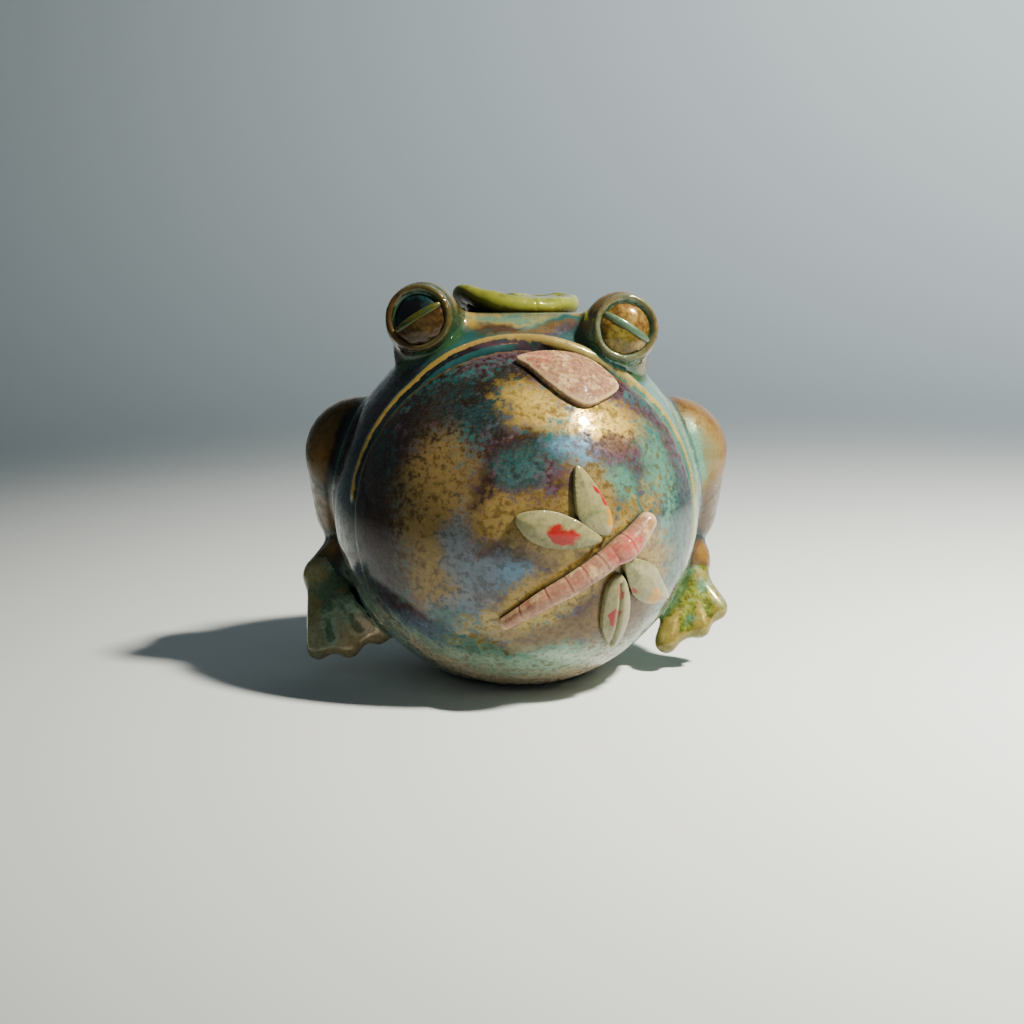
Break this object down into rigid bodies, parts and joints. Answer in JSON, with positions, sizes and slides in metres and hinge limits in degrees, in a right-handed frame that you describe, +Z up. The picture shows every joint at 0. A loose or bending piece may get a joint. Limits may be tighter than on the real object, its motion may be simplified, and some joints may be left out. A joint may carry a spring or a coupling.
{
  "type": "frog figurine",
  "caption": "Pot-bellied sitting frog ornament in glazed ceramic, with a lily pad on its head, its tongue out and a dragonfly on its belly; it stands on a flat base.",
  "frame": {"origin": "middle of the foot ring, on the surface that the frog stands on", "axes": "+Z up, the frog faces -Y, its own left is +X"},
  "size_m": [0.1328, 0.1153, 0.1202],
  "materials": {
    "body_glaze": "gloss glaze, teal broken with ochre",
    "belly_glaze": "gloss glaze, gold and brown running into celadon",
    "lip_glaze": "gloss glaze, gold",
    "tongue_bisque": "bare fired clay, grainy",
    "pad_glaze": "gloss glaze, olive",
    "dragonfly_slip": "pink slip, satin",
    "wing_glaze": "grey-green glaze with red flecks",
    "eye_rim_glaze": "gloss glaze, brown and green",
    "right_eye_glaze": "gloss glaze, blue-black",
    "left_eye_glaze": "gloss glaze, amber",
    "lid_glaze": "gloss glaze, ochre",
    "lid_roll_glaze": "gloss glaze, green",
    "leg_glaze": "gloss glaze, dark with ochre streaks",
    "foot_glaze": "gloss glaze, ochre ridges on green"
  },
  "bodies": {
    "root": {"body_shell": "body_glaze", "belly_shell": "belly_glaze", "upper_lip": "lip_glaze", "tongue": "tongue_bisque", "lily_pad": "pad_glaze", "dragonfly_abdomen": "dragonfly_slip", "dragonfly_thorax": "dragonfly_slip", "dragonfly_left_forewing": "wing_glaze", "dragonfly_left_hindwing": "wing_glaze", "dragonfly_right_forewing": "wing_glaze", "dragonfly_right_hindwing": "wing_glaze", "right_eye_mound": "eye_rim_glaze", "left_eye_mound": "eye_rim_glaze", "right_eyeball": "right_eye_glaze", "left_eyeball": "left_eye_glaze", "right_lower_lid": "lid_glaze", "left_lower_lid": "lid_glaze", "right_lid_roll": "lid_roll_glaze", "left_lid_roll": "lid_roll_glaze", "right_thigh": "leg_glaze", "left_thigh": "leg_glaze", "right_shank": "leg_glaze", "left_shank": "leg_glaze", "right_foot": "foot_glaze", "left_foot": "foot_glaze"}
  },
  "joints": []
}
